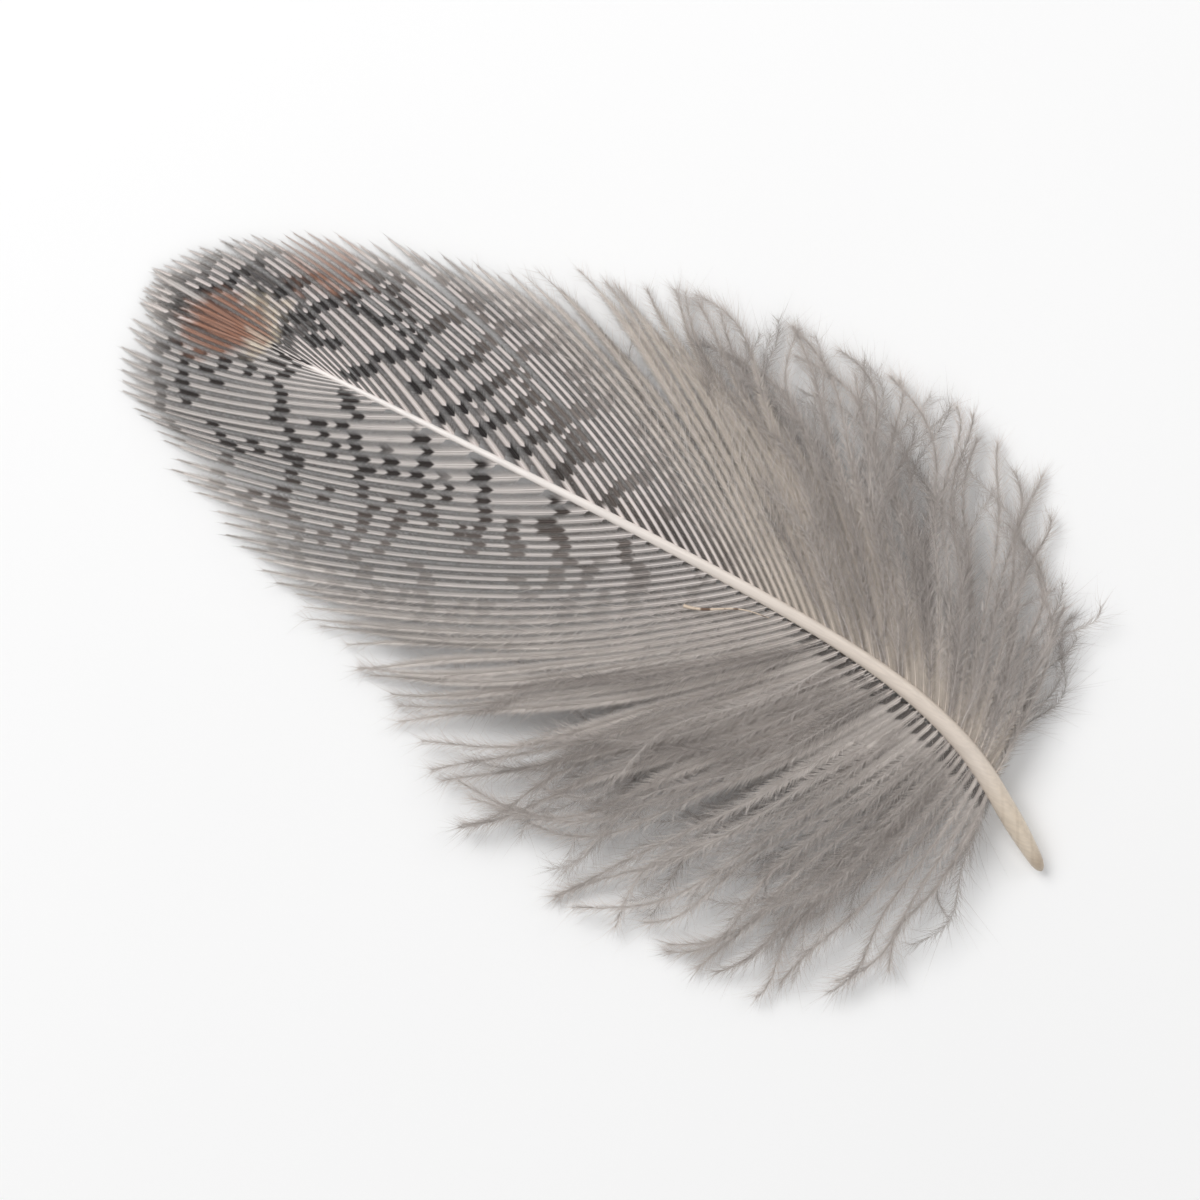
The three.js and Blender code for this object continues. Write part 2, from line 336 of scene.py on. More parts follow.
class Barbs:
    """Barbs of one side, with one value per barb in each array."""

    def __init__(self, side, places, seed):
        self.side = side
        self.places = places
        self.count = len(places)
        self.chance = np.random.default_rng(seed)
        nothing = np.zeros(self.count)
        reach = lerp(REACH[side], TIP_REACH, smooth(places, 0.88, 1.0))
        self.stretch = reach * (1 + 0.02 * self.chance.standard_normal(self.count))
        self.turn = nothing
        self.turn_reach = 0.6
        self.lateness = 1.5
        self.kick = nothing
        self.lift = nothing
        self.loft = nothing
        self.wave = nothing
        self.pinch = nothing
        self.softness = nothing
        self.end = nothing + EDGE_HEIGHT
        self.camber = nothing + VANE_CAMBER
        self.phase = self.chance.uniform(0, 1, self.count)
        self.firm = nothing + 1

    def place(self, number):
        numbers = np.arange(-1, self.count + 1)
        first, last = self.places[0], self.places[-1]
        known = np.concatenate((
            [2 * first - self.places[1]], self.places, [2 * last - self.places[-2]]))
        return np.interp(number, numbers, known)

    def length(self, barb):
        return self.lengths[barb]

    def points(self, barb, q, step=0.0):
        """Points at q on the barbs, or a step towards the next barb on the sheet."""
        out = np.maximum(q, 0)
        t = swept(self.place(barb + step), out)
        length = barb_length(t) * self.stretch[barb]
        loose = self.wave[barb] * out ** self.lateness
        swing = loose * np.sin(2 * np.pi * (1.4 * q + self.phase[barb]))
        swing = swing + self.turn[barb] * smooth(out, 0, self.turn_reach)
        swing = swing + self.pinch[barb] * out ** self.lateness
        swing = swing + self.kick[barb] * np.exp(-out * length / KICK_REACH)
        x, y = barb_plan(self.side, t, q, length, swing)
        fall = out ** self.camber[barb]
        z = lerp(arch_height(t * SHAFT_LENGTH), self.end[barb], fall)
        z = z + self.loft[barb] * np.sin(np.pi * np.clip(1.15 * q, 0, 1))
        z = z + self.lift[barb] * out ** (self.lateness + 0.5)
        z = z + 0.06 * loose * np.cos(2 * np.pi * (1.1 * q + 3 * self.phase[barb]))
        return np.stack((x, y, np.maximum(z, LOWEST)), axis=-1)

    def frames(self, barb, q):
        """Place, direction ahead, direction to the left and upward direction."""
        here = self.points(barb, q)
        ahead = unit(self.points(barb, q + NUDGE) - self.points(barb, q - NUDGE))
        left = unit(np.cross((0.0, 0.0, 1.0), ahead))
        return here, ahead, left, np.cross(ahead, left)

    def settle(self):
        """Shorten barbs that reach past the side of the solid model, and measure them all."""
        for _ in range(4):
            tips = self.points(np.arange(self.count), np.ones(self.count))
            past = np.abs(tips[:, 1] - MIDDLE[1]) / SIDE_LIMIT
            self.stretch = self.stretch / np.maximum(past, 1)
        line = self.points(np.arange(self.count)[:, None], np.linspace(0, 1, 40)[None, :])
        steps = np.linalg.norm(np.diff(line, axis=1), axis=2)
        self.lengths = steps.sum(axis=1)

    def bar_place(self, barb):
        """How far ahead each root lies in the direction of the barbs, in millimetres."""
        steps = np.gradient(self.places) * SHAFT_LENGTH
        ahead = np.cumsum(steps * np.cos(barb_angle(self.places) * DEGREE))
        return ahead[barb]


def vane_barbs(side, seed):
    """Barbs in groups, soft and wavy near the quill, firm in the middle and calm at the tip."""
    barbs = Barbs(side, barb_places(), seed)
    chance = barbs.chance
    softness = 1 - smooth(barbs.places, *SOFT_ZONE)
    calm = 1 - smooth(barbs.places, *CALM_ZONE)
    groups = np.cumsum(chance.uniform(0, 1, barbs.count) < GROUP_START)
    middles = np.array([np.flatnonzero(groups == group).mean() for group in groups])
    fanning = -np.gradient(barb_angle(barbs.places))
    fanning = fanning + np.gradient(barbs.places) * SHAFT_LENGTH / FAN_RADIUS / DEGREE
    away = np.arange(barbs.count) - middles
    barbs.softness = softness
    barbs.lateness = 2.5
    barbs.kick = ROOT_KICK[side] * np.sqrt(softness)
    barbs.pinch = away * fanning * (0.05 + 0.4 * softness) * calm
    barbs.turn = chance.normal(0, 1, groups[-1] + 1)[groups] * (0.15 * calm + 1.3 * softness)
    barbs.lift = 0.14 + 0.08 * calm * chance.normal(0, 1, groups[-1] + 1)[groups]
    barbs.lift = barbs.lift + softness * chance.uniform(0, 0.8, groups[-1] + 1)[groups]
    barbs.lift = barbs.lift + softness * chance.uniform(0, 0.4, barbs.count)
    barbs.wave = softness * chance.uniform(1.0, 9.0, barbs.count)
    barbs.stretch = barbs.stretch * (1 - 0.07 * softness * chance.uniform(0, 1, barbs.count))
    barbs.firm = np.clip(0.34 + 0.8 * smooth(barbs.places, 0.0, 0.4), 0, 1.05)
    barbs.firm = barbs.firm + 0.06 * softness * chance.normal(0, 1, barbs.count)
    barbs.firm = np.maximum(barbs.firm, 0.2)
    barbs.settle()
    return barbs


left_barbs = vane_barbs(LEFT, 11)
right_barbs = vane_barbs(RIGHT, 12)
print("barbs in the left and the right vane:", left_barbs.count, right_barbs.count)

# %% [markdown]
# ## Laying the copies along the barbs
# A template stands up along Z, so its height becomes the way along the barb, and its
# width and depth go to the left and upwards. That could be done with an Array and a
# Curve modifier for each barb, but a hundred barbs with hundreds of teeth each are laid
# faster as one array of numbers, and the result is one plain mesh.
#
# Each point also keeps what the finish needs: its barb's number, how far along the barb
# it is, how far to the side, with 1 at the tips of the barbules, and how silky and pale
# it is, as the loose ends and the tips of the barbs are. The map gives each barb a strip
# of its own.

# %% Lay the copies
KEPT = ("barb_no", "along_mm", "across", "soft", "root", "bar_mm")
PALE_TIP = 0.75
PALE_FROM = 0.74
ROOT_FLARE = 1.2  # millimetres over which a soft barb's rib narrows from its broad root


def as_part(barbs, points, corners, barb, along, across, soft, mirrored=False):
    """One bundle of copies: flat arrays of points, triangles and kept values."""
    shape = points.shape[:2]
    if mirrored:
        corners = corners[:, ::-1]
    shifts = np.arange(shape[0])[:, None, None] * shape[1]
    triangles = (corners[None] + shifts).reshape(-1, 3)
    values = (barb, along, across, soft, barbs.places[barb], along + barbs.bar_place(barb))
    kept = [np.broadcast_to(value, shape).ravel() for value in values]
    return points.reshape(-1, 3), triangles, np.stack(kept, axis=1)


def rami(barbs, shape, width, height, taper=0.8):
    """The ribs of all the barbs, with their shortest steps near the root."""
    points, corners = shape
    q = np.broadcast_to(points[None, :, 2] ** 1.3, (barbs.count, len(points)))
    barb = np.broadcast_to(np.arange(barbs.count)[:, None], q.shape)
    here, ahead, left, up = barbs.frames(barb, q)
    along = q * barbs.length(barb)
    softness = barbs.softness[barb]
    flare = softness * np.exp(-along / ROOT_FLARE)
    thin = ((1 - taper * q) * (1 - 0.4 * softness + flare))[..., None]
    flat = (1 - 0.5 * softness)[..., None]
    out = here + left * points[None, :, :1] * width * thin
    out = out + up * points[None, :, 1:2] * height * thin * flat
    soft = smooth(q, barbs.firm[barb] - 0.35, barbs.firm[barb] + 0.05) * softness
    soft = np.maximum(soft, PALE_TIP * smooth(q, PALE_FROM, 1.0))
    return as_part(barbs, out, corners, barb, along, 0.06 * points[None, :, 0], soft)


BARBULE_GAP = 0.085
BARBULE_ANGLE = 42.0
BARBULE_REACH = 0.62  # share of the way to the next barb
BARBULE_WIDTH = 0.068
WEB_THICKNESS = 0.012
WEB_DEPTH = 0.035
BARE_ROOT = {LEFT: 0.5, RIGHT: 0.12}


def barbules(barbs, side):
    """The hooked teeth on one side of every barb, as far out as the vane is firm."""
    points, corners = BARBULE
    owners, places = [], []
    for barb in range(barbs.count):
        bare = BARE_ROOT[barbs.side] / barbs.length(barb)
        firm = min(barbs.firm[barb], 0.995)
        number = max(3, int(barbs.length(barb) * (firm - bare) / BARBULE_GAP))
        owners.append(np.full(number, barb))
        places.append(bare + (firm - bare) * (np.arange(number) + 0.5) / number)
    barb = np.concatenate(owners)[:, None]
    root = np.concatenate(places)[:, None]
    a = points[None, :, 2]
    loose = barbs.softness[barb] * smooth(root, barbs.firm[barb] - 0.35, barbs.firm[barb])
    frays = barbs.chance.standard_normal((2,) + root.shape) * loose
    reach = BARBULE_REACH + 0.35 * barbs.softness[barb]
    reach = reach + 0.05 * barbs.chance.standard_normal(root.shape)
    closing = 1 - 0.75 * smooth(root, 0.88, 1.0)
    firm = np.minimum(barbs.firm[barb], 1)
    fading = smooth(barbs.softness[barb], 0, 0.1) * smooth(root, firm - 0.2, firm)
    closing = closing * (1 - 0.85 * fading)
    step = side * reach * a
    here, ahead, _, _ = barbs.frames(barb, root)
    beside = barbs.points(barb, root, 1.0) - here
    shifted = (beside * ahead).sum(axis=-1)
    apart = np.linalg.norm(beside - shifted[..., None] * ahead, axis=-1)
    forward = np.abs(step) * apart / math.tan(BARBULE_ANGLE * DEGREE) - step * shifted
    forward = forward + 0.25 * frays[0] * a
    length = barbs.length(barb)
    q = root + (forward + BARBULE_WIDTH * points[None, :, 0]) / length
    out = barbs.points(np.broadcast_to(barb, q.shape), q, step * closing * (1 - 0.3 * loose))
    sunk = WEB_DEPTH * (1 - barbs.softness[barb])
    web = WEB_THICKNESS * (points[None, :, 1] + side) - sunk * a + 0.1 * frays[1] * a
    out[..., 2] = np.maximum(out[..., 2] + web, LOWEST / 2)
    along = root * length + 0 * q
    mirrored = side * barbs.side < 0
    pale = np.maximum(loose, PALE_TIP * smooth(root, PALE_FROM, 1.0))
    return as_part(barbs, out, corners, barb, along, step, pale, mirrored)


def downy_hairs(barbs, shape, gap, length, width, droop, spread, steep=32, bare=None):
    """Long soft barbules on both sides of each barb, beyond its firm or its bare part."""
    points, corners = shape
    owners, places, starts = [], [], []
    for barb in range(barbs.count):
        start = max(0.03, min(barbs.firm[barb], 1) - 0.32 * barbs.softness[barb])
        number = int(barbs.length(barb) * (1 - start) / gap) if start < 0.96 else 0
        if bare is not None:
            start = bare / barbs.length(barb)
            number = int(barbs.length(barb) * (1 - start) / gap * barbs.softness[barb] ** 0.5)
        owners.append(np.full(number, barb))
        starts.append(np.full(number, start))
        places.append(start + (1 - start) * (np.arange(number) + 0.5) / max(number, 1))
    barb = np.concatenate(owners)
    root = np.concatenate(places)
    start = np.concatenate(starts)
    chance = barbs.chance
    count = len(barb)
    way = np.where(np.arange(count) % 2 == 0, 1.0, -1.0)
    here, ahead, left, up = barbs.frames(barb, root)
    angle = np.clip(spread + 13 * chance.standard_normal(count), 8, 85) * DEGREE
    rise = np.clip(4 + steep * chance.standard_normal(count), -75, 75) * DEGREE
    out_way = left * (way * np.cos(rise))[:, None] + up * np.sin(rise)[:, None]
    heading = ahead * np.cos(angle)[:, None] + out_way * np.sin(angle)[:, None]
    fade = (0.45 + 0.55 * smooth(root, start, start + 0.2)) * (1 - 0.25 * smooth(root, 0.85, 1.0))
    size = length * fade * chance.uniform(0.5, 1.5, count)
    bend = ahead * 0.3 + chance.standard_normal((count, 3)) * 0.3
    bend[:, 2] -= droop
    a = points[None, :, 2, None]
    out = here[:, None] + heading[:, None] * size[:, None, None] * a
    out = out + bend[:, None] * size[:, None, None] * a * a
    flank = unit(np.cross(heading, up))
    out = out + flank[:, None] * points[None, :, :1] * width
    out = out + np.cross(heading, flank)[:, None] * points[None, :, 1:2] * width
    out[..., 2] = np.maximum(out[..., 2], LOWEST / 2)
    along = (root * barbs.length(barb))[:, None] + 0.04 * points[None, :, 0]
    across = way[:, None] * (0.1 + 0.9 * points[None, :, 2]) + 0.05 * points[None, :, 1]
    return as_part(barbs, out, corners, barb[:, None], along, across, 1.0)


LONGEST = 31.0  # longer than any barb, so that each strip of the map holds one


def dress(piece, material, node):
    piece.data.materials.append(material)
    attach(piece, "root")
    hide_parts(node)
    print(piece.name, "has", len(piece.data.polygons), "faces")


def make_piece(name, parts, material, node):
    """Join bundles of copies into one mesh that rides with the feather."""
    starts = np.cumsum([0] + [len(part[0]) for part in parts])
    points = np.concatenate([part[0] for part in parts]) - MIDDLE
    faces = np.concatenate([part[1] + start for part, start in zip(parts, starts)])
    kept = np.concatenate([part[2] for part in parts])
    mesh = bpy.data.meshes.new(name)
    mesh.from_pydata((points * MM).tolist(), [], faces.tolist())
    mesh.shade_smooth()
    for column, label in enumerate(KEPT):
        layer = mesh.attributes.new(label, "FLOAT", "POINT")
        layer.data.foreach_set("value", kept[:, column].astype(np.float32))
    rows = kept[:, 0].max() + 1
    strip = (kept[:, 0] + 0.5 + 0.46 * np.clip(kept[:, 2], -1, 1)) / rows
    chart = np.stack((np.clip(kept[:, 1] / LONGEST, 0, 1), strip), axis=1)
    uv = mesh.uv_layers.new(name="OFBake")
    uv.data.foreach_set("uv", chart[faces.ravel()].astype(np.float32).ravel())
    piece = bpy.data.objects.new(name, mesh)
    bpy.context.collection.objects.link(piece)
    dress(piece, material, node)


# %% [markdown]
# ## A few words for the finishes
# Every finish is made of shader nodes that read the barb's own numbers. Colours are
# given as they look on a screen, from 0 to 255, and turned into the light values that
# the shader works with. Small helpers keep the recipes short.

# %% Helpers for finishes
def tone(red, green, blue):
    def light(value):
        value = value / 255
        return value / 12.92 if value <= 0.04045 else ((value + 0.055) / 1.055) ** 2.4

    return (light(red), light(green), light(blue), 1.0)


class Finish:
    """A material with short ways to add and join its nodes."""

    def __init__(self, name, roughness, sheen):
        self.material = bpy.data.materials.new(name)
        self.material.use_nodes = True
        self.nodes = self.material.node_tree.nodes
        self.links = self.material.node_tree.links
        self.shader = self.nodes["Principled BSDF"]
        self.shader.inputs["Roughness"].default_value = roughness
        self.shader.inputs["Sheen Weight"].default_value = sheen
        self.shader.inputs["Sheen Roughness"].default_value = 0.4

    def join(self, value, socket):
        if isinstance(value, bpy.types.NodeSocket):
            self.links.new(value, socket)
        else:
            socket.default_value = value

    def attribute(self, label):
        node = self.nodes.new("ShaderNodeAttribute")
        node.attribute_name = label
        return node.outputs["Fac"]

    def place(self):
        """The point on the feather in millimetres, from the top of the quill."""
        where = self.nodes.new("ShaderNodeTexCoord")
        scaled = self.nodes.new("ShaderNodeMapping")
        scaled.inputs["Scale"].default_value = (1 / MM, 1 / MM, 1 / MM)
        scaled.inputs["Location"].default_value = MIDDLE
        self.links.new(where.outputs["Object"], scaled.inputs["Vector"])
        return scaled.outputs["Vector"]

    def math(self, operation, a, b=0.0):
        node = self.nodes.new("ShaderNodeMath")
        node.operation = operation
        for value, socket in zip((a, b), node.inputs):
            self.join(value, socket)
        return node.outputs[0]

    def add(self, a, b):
        return self.math("ADD", a, b)

    def times(self, a, b):
        return self.math("MULTIPLY", a, b)

    def rest(self, a):
        """What is missing to 1."""
        return self.math("SUBTRACT", 1.0, a)

    def step(self, value, low, high):
        """0 below low, 1 above high, and a soft change between them."""
        node = self.nodes.new("ShaderNodeMapRange")
        node.interpolation_type = "SMOOTHSTEP"
        self.join(value, node.inputs["Value"])
        node.inputs["From Min"].default_value = low
        node.inputs["From Max"].default_value = high
        return node.outputs["Result"]

    def mix(self, share, a, b):
        node = self.nodes.new("ShaderNodeMix")
        node.data_type = "RGBA"
        self.join(share, node.inputs[0])
        self.join(a, node.inputs[6])
        self.join(b, node.inputs[7])
        return node.outputs[2]

    def shaded(self, colour, factor):
        """The colour made lighter or darker by a factor around 1."""
        node = self.nodes.new("ShaderNodeVectorMath")
        node.operation = "SCALE"
        self.join(colour, node.inputs[0])
        self.join(factor, node.inputs["Scale"])
        return node.outputs[0]

    def vector(self, x, y=0.0, z=0.0):
        node = self.nodes.new("ShaderNodeCombineXYZ")
        for value, socket in zip((x, y, z), node.inputs):
            self.join(value, socket)
        return node.outputs[0]

    def parts(self, vector):
        node = self.nodes.new("ShaderNodeSeparateXYZ")
        self.links.new(vector, node.inputs[0])
        return node.outputs

    def chance(self, vector):
        """A number from 0 to 1 that jumps from one vector to the next."""
        node = self.nodes.new("ShaderNodeTexWhiteNoise")
        node.noise_dimensions = "3D"
        self.links.new(vector, node.inputs["Vector"])
        return node.outputs["Value"]

    def cloud(self, vector, scale, detail=2.0):
        """A number around a half that changes slowly."""
        node = self.nodes.new("ShaderNodeTexNoise")
        node.inputs["Scale"].default_value = scale
        node.inputs["Detail"].default_value = detail
        self.links.new(vector, node.inputs["Vector"])
        return node.outputs["Fac"]

    def done(self, colour):
        self.links.new(colour, self.shader.inputs["Base Color"])
        return self.material


# %% [markdown]
# ## The finish of the vanes
# On the real feather the ribs are pale and the webs between them dusky. The webs' dark
# tones here stand for that colour and also for painted shade between the barbs. Across
# them run broken zigzag bars: on each barb the dark stretch sits a step further in or out
# than on its neighbour, because every barb is coloured by itself as it grows. So the bars
# here are a wave along the barbs whose phase jumps a little from barb to barb and drifts
# over many, and some stretches are left out. Towards the down the bars turn brown and
# vanish. There the webs begin late, and close to the roots of the barbs they are painted
# dark, as painted shade in the slots between the roots. The soft ends of the barbs are
# pale as silk. A chestnut spot with a cream rim sits just beyond the shaft's end, and a
# second spot at the edge of the right vane.

# %% Tones and places of the vanes' markings
SPOT = (48.5, -3.5)
SPOT_SIZE = (2.7, 1.9)
SPOT_TURN = 26
EDGE_SPOT = (46.2, -10.3)
EDGE_SPOT_SIZE = (4.0, 2.3)
EDGE_SPOT_TURN = -32
BIT_JITTER = 0.14
BIT_HEIGHT = 4.3  # barbs that one bit of a bar crosses
SMALL_BIT_HEIGHT = 2.3
SLOT_SHADE_END = (1.2, 1.45)
SLOT_SHADE_ZONE = (0.26, 0.33)
# Where a web tone is darker than its rib, it is partly the barbules' own colour and partly painted
# shade between the barbs.
BARK = {"rib": tone(176, 130, 108), "web": tone(112, 72, 54)}
CREAM = {"rib": tone(230, 218, 198), "web": tone(156, 136, 114)}
GREY_BASE = {"rib": tone(217, 208, 201), "web": tone(219, 210, 203)}
BEIGE_BASE = {"rib": tone(212, 200, 188), "web": tone(210, 198, 185)}
SILK = tone(236, 228, 222)
# The slot tone is painted shade: a dark colour laid on the webs near the roots of the soft barbs.
SLOT_SHADE = tone(74, 66, 62)
BROWN_MARK = tone(118, 106, 99)


def oval(finish, place, centre, size, turn):
    """0 in the middle of a turned oval and 1 on its line, and the way along it."""
    x, y, _ = finish.parts(place)
    right = finish.math("SUBTRACT", x, centre[0])
    up = finish.math("SUBTRACT", y, centre[1])
    cos, sin = math.cos(turn * DEGREE), math.sin(turn * DEGREE)
    a = finish.add(finish.times(right, cos / size[0]), finish.times(up, sin / size[0]))
    b = finish.add(finish.times(up, cos / size[1]), finish.times(right, -sin / size[1]))
    return finish.math("SQRT", finish.add(finish.times(a, a), finish.times(b, b))), a


def bar(finish, phase, barb, share, jitter, height, kept_share):
    """1 in the dark stretches of one set of bars, broken into bits of a few barbs."""
    turn = finish.math("FRACT", phase)
    row = finish.math("FLOOR", phase)
    shifted = finish.add(barb, finish.times(finish.chance(finish.vector(row, 5.0)), 9.0))
    bit = finish.math("FLOOR", finish.math("DIVIDE", shifted, height))
    late = finish.times(finish.chance(finish.vector(bit, row, 2.0)), BIT_JITTER)
    late = finish.add(late, finish.times(finish.chance(finish.vector(barb, row, 7.0)), jitter))
    begun = finish.math("SUBTRACT", turn, late)
    size = finish.add(0.7, finish.times(finish.chance(finish.vector(barb, row, 4.0)), 0.6))
    ended = finish.math("SUBTRACT", begun, finish.times(size, share))
    inside = finish.times(finish.step(begun, 0.0, 0.05), finish.rest(finish.step(ended, 0.0, 0.05)))
    kept = finish.math("LESS_THAN", finish.chance(finish.vector(bit, row)), kept_share)
    return finish.times(inside, kept)


def zigzag_bars(finish, barb, along, wave_length, share, jitter, kept_share, second_share):
    """Full bars, and shorter ones halfway between them, which begin away from the shaft."""
    bar_mm = finish.attribute("bar_mm")
    drift = finish.cloud(finish.vector(finish.times(barb, 0.25), finish.times(bar_mm, 0.1)), 1.0)
    phase = finish.math("DIVIDE", bar_mm, wave_length)
    phase = finish.add(phase, finish.times(drift, 1.2))
    dark = bar(finish, phase, barb, share, jitter, BIT_HEIGHT, kept_share)
    halfway = finish.add(phase, 0.47)
    between = bar(finish, halfway, barb, share * 0.85, jitter, SMALL_BIT_HEIGHT, second_share)
    between = finish.times(between, finish.step(along, 3.0, 6.0))
    return finish.math("MAXIMUM", dark, between)


def with_spots(finish, colour, place, own, mark, bark, cream):
    """The colour with both chestnut spots, the first in a cream rim and a dark line."""
    ragged = finish.times(finish.math("SUBTRACT", own, 0.5), 0.35)
    uneven = finish.math("SUBTRACT", finish.cloud(place, 0.8), 0.5)
    ragged = finish.add(ragged, finish.times(uneven, 1.1))
    ring, forward = oval(finish, place, SPOT, SPOT_SIZE, SPOT_TURN)
    ring = finish.add(ring, ragged)
    behind = finish.rest(finish.step(forward, -0.7, -0.3))
    rim = finish.times(behind, finish.rest(finish.step(ring, 1.15, 1.4)))
    outline = finish.times(finish.step(ring, 1.35, 1.5), finish.rest(finish.step(ring, 1.65, 1.8)))
    outline = finish.times(outline, finish.rest(finish.step(finish.parts(place)[1], -4.2, -3.4)))
    colour = finish.mix(finish.times(finish.times(behind, outline), 0.85), colour, mark)
    colour = finish.mix(finish.times(rim, 0.75), colour, cream)
    spot = finish.rest(finish.step(ring, 0.7, 1.2))
    colour = finish.mix(finish.times(spot, 0.95), colour, bark)
    far_ring, _ = oval(finish, place, EDGE_SPOT, EDGE_SPOT_SIZE, EDGE_SPOT_TURN)
    far_spot = finish.rest(finish.step(finish.add(far_ring, ragged), 0.6, 1.15))
    return finish.mix(finish.times(far_spot, 0.95), colour, bark)


# %% [markdown]
# ## The whole recipe of a vane
# The two vanes share one recipe, from the plain tone up to the silky ends. They differ in
# their tones and in the size of their bars: the left vane is pale with wide bars, and the
# right one is darker, with narrow bars close together.

# %% Finish of the vanes
def vane_finish(name, base, slot_shade_share, rib, web, inner_web, mark, **bar_sizes):
    finish = Finish(name, roughness=0.6, sheen=0.1)
    barb = finish.math("ROUND", finish.attribute("barb_no"))
    along = finish.attribute("along_mm")
    across = finish.math("ABSOLUTE", finish.attribute("across"))
    root = finish.attribute("root")
    place = finish.place()
    own = finish.chance(finish.vector(barb, 3.0))
    beside = finish.step(across, 0.1, 0.32)

    # Where a web tone is darker than its rib, it is partly the barbules' own colour and partly
    # painted shade between the barbs.
    def pair(tones):
        return finish.mix(beside, tones["rib"], tones["web"])

    inner = finish.rest(finish.step(along, 3.0, 10.0))
    colour = finish.mix(inner, pair({"rib": rib, "web": web}), pair({"rib": rib, "web": inner_web}))
    colour = finish.mix(finish.step(root, 0.28, 0.48), pair(base), colour)
    # Painted shade between the roots of the soft barbs: the webs close to the roots are darkened.
    slot_shade = finish.times(finish.rest(finish.step(along, *SLOT_SHADE_END)), finish.step(across, 0.2, 0.3))
    slot_shade = finish.times(slot_shade, finish.rest(finish.step(root, *SLOT_SHADE_ZONE)))
    colour = finish.mix(finish.times(slot_shade, slot_shade_share), colour, SLOT_SHADE)

    dark = zigzag_bars(finish, barb, along, **bar_sizes)
    marks = finish.mix(finish.step(root, 0.42, 0.72), BROWN_MARK, mark)
    strength = finish.times(finish.step(root, 0.3, 0.58), finish.step(along, 0.6, 1.2))
    colour = finish.mix(finish.times(dark, strength), colour, marks)
    colour = with_spots(finish, colour, place, own, mark, pair(BARK), pair(CREAM))

    silk = finish.shaded(SILK[:3], finish.add(0.84, finish.times(own, 0.34)))
    colour = finish.mix(finish.times(finish.attribute("soft"), 0.85), colour, silk)
    mottle = finish.cloud(place, 0.5, 4.0)
    colour = finish.shaded(colour, finish.add(0.82, finish.times(mottle, 0.3)))
    return finish.done(finish.shaded(colour, finish.add(0.95, finish.times(own, 0.12))))


LEFT_VANE = vane_finish(
    "left_vane_barbs", GREY_BASE, slot_shade_share=0.85, rib=tone(226, 219, 215), web=tone(98, 90, 86),
    inner_web=tone(184, 177, 173), mark=tone(52, 44, 41),
    wave_length=3.7, share=0.23, jitter=0.2, kept_share=0.94, second_share=0.55)
RIGHT_VANE = vane_finish(
    "right_vane_barbs", BEIGE_BASE, slot_shade_share=0.1, rib=tone(238, 228, 224), web=tone(76, 67, 64),
    inner_web=tone(92, 83, 79), mark=tone(38, 31, 30),
    wave_length=2.2, share=0.36, jitter=0.24, kept_share=0.9, second_share=0.24)

# %% [markdown]
# ## The finish of the down
# Down has no hooks, so nothing holds its hairs in a sheet. It looks like grey smoke
# with silky lighter strands where whole barbs catch the light. Each barb gets a tone of
# its own between dark and light grey, and its rib is lighter than its hairs: partly the
# rib's own colour, and on a random share of barbs a painted highlight for that light.

# %% Finish of the down
# A light rib tone: partly the ribs' own paler colour and partly a painted highlight.
RIB_HIGHLIGHT = tone(230, 222, 216)


def down_finish(name, dark, light):
    finish = Finish(name, roughness=0.65, sheen=0.25)
    barb = finish.math("ROUND", finish.attribute("barb_no"))
    along = finish.attribute("along_mm")
    across = finish.math("ABSOLUTE", finish.attribute("across"))
    own = finish.chance(finish.vector(barb, 9.0))
    streak = finish.cloud(finish.vector(finish.times(barb, 0.9), finish.times(along, 0.06)), 1.0)
    share = finish.add(finish.times(own, 0.5), finish.times(finish.step(streak, 0.35, 0.65), 0.5))
    colour = finish.mix(share, dark, light)
    rib = finish.rest(finish.step(across, 0.05, 0.3))
    # Painted highlight: ribs are mixed towards a light tone, a little on every barb as their own
    # paler colour and strongly on a random share of barbs.
    rib_highlight_share = finish.add(0.35, finish.times(finish.step(own, 0.5, 0.7), 0.6))
    colour = finish.mix(finish.times(rib, rib_highlight_share), colour, RIB_HIGHLIGHT)
    cloud = finish.cloud(finish.place(), 0.3, 3.0)
    return finish.done(finish.shaded(colour, finish.add(0.8, finish.times(cloud, 0.36))))


DOWN = down_finish("grey_down", tone(162, 153, 148), tone(220, 211, 205))
SILKY_DOWN = down_finish("silky_down", tone(206, 197, 191), tone(244, 236, 230))

# %% [markdown]
# ## The two vanes
# Each vane is the ribs of its barbs with two rows of barbules. The barbules of one row
# run under those of the next barb, and that overlap is what closes the vane.

# %% Vanes
RAMUS_WIDTH = 0.05
RAMUS_HEIGHT = 0.085

for name, barbs, material in (
    ("vane_left", left_barbs, LEFT_VANE),
    ("vane_right", right_barbs, RIGHT_VANE),
):
    make_piece(name, [
        rami(barbs, RAMUS, RAMUS_WIDTH, RAMUS_HEIGHT),
        barbules(barbs, 1),
        barbules(barbs, -1),
    ], material, "feather")

# %% [markdown]
# ## The loose ends and the down
# The barbs near the quill are firm only close to the shaft. Further out they carry long
# soft hairs. Under this sheet more barbs grow from the shaft's sides, all downy, some
# high and some pressed on the surface, as far out as the solid model's locks reach.

# %% Loose ends and down
for name, barbs in (("loose_ends_left", left_barbs), ("loose_ends_right", right_barbs)):
    make_piece(name, [
        downy_hairs(barbs, HAIR, gap=0.08, length=1.4, width=0.01, droop=0.1, spread=36,
                    steep=18),
        downy_hairs(barbs, BARBULE, gap=0.034, length=0.7, width=0.01, droop=0.05, spread=36),
        downy_hairs(barbs, BARBULE, gap=0.04, length=0.95, width=0.014, droop=0.02, spread=24,
                    steep=5, bare=1.7),
    ], SILKY_DOWN, "feather")

